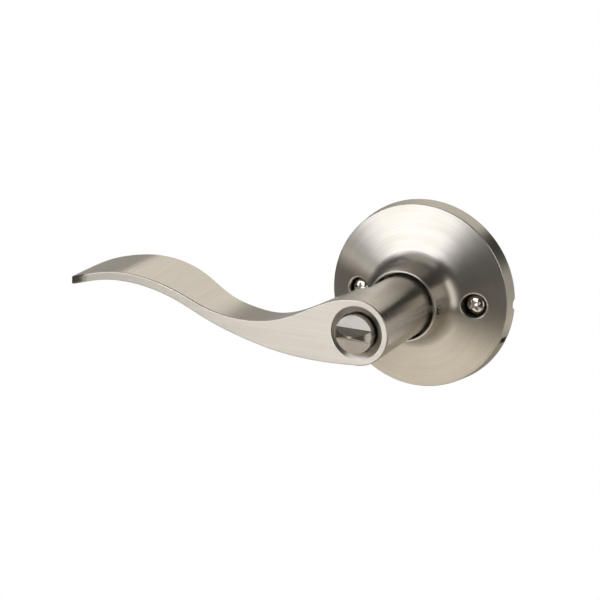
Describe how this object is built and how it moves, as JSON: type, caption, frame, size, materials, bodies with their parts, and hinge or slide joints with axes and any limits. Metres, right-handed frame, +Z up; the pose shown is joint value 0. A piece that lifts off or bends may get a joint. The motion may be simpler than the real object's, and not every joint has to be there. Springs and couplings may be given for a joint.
{
  "type": "door lever handle",
  "caption": "Satin nickel privacy door lever with a round rose, a wave-shaped grip, a thumb turn in its hub and two face screws; inside half with its spindle and return spring.",
  "frame": {"origin": "centre of the rose's back face, where the lever's axis meets the door's face", "axes": "-Y points out of the door into the room along the lever's axis, +Y into the door, +Z up, -X the way the lever points"},
  "size_m": [0.1444, 0.1095, 0.0659],
  "materials": {
    "satin_nickel": "satin nickel plating over fine brushing",
    "button_nickel": "smooth bright satin nickel",
    "bright_nickel": "polished nickel plating",
    "cast_zinc": "as-cast zinc alloy",
    "zinc_plated_steel": "pale zinc plating",
    "spring_steel": "oiled dark spring steel",
    "white_nylon": "natural moulded nylon"
  },
  "bodies": {
    "rose": {"rose_cover": "satin_nickel", "chassis": "cast_zinc", "spring_cover": "zinc_plated_steel", "cover_rivets": "zinc_plated_steel", "return_spring": "spring_steel", "neck_bush": "white_nylon", "thrust_washer": "white_nylon", "mounting_screws": "bright_nickel"},
    "lever": {"lever": "satin_nickel", "drive_sleeve": "zinc_plated_steel", "drive_cam": "zinc_plated_steel", "retaining_ring": "spring_steel", "spindle_holder": "cast_zinc", "spindle": "zinc_plated_steel", "catch_guide": "white_nylon", "catch_spring": "spring_steel"},
    "button": {"turn_button": "button_nickel", "lock_bar": "zinc_plated_steel", "button_clip": "spring_steel", "friction_washer": "spring_steel"},
    "catch": {"lever_catch": "zinc_plated_steel"}
  },
  "joints": [
    {"name": "lever_turn", "type": "hinge", "parent": "rose", "child": "lever", "pos_m": [0, 0, 0], "axis": [0, 1, 0], "range_deg": [-45, 45], "stiffness_Nm_per_rad": 2.5, "deforming": ["return_spring"]},
    {"name": "button_turn", "type": "hinge", "parent": "lever", "child": "button", "pos_m": [0, 0, 0], "axis": [0, 1, 0], "range_deg": [0, 90]},
    {"name": "catch_press", "type": "slide", "parent": "lever", "child": "catch", "axis": [-1, 0, 0], "range_m": [0, 0.0018], "stiffness_N_per_m": 800, "deforming": ["catch_spring"]}
  ]
}
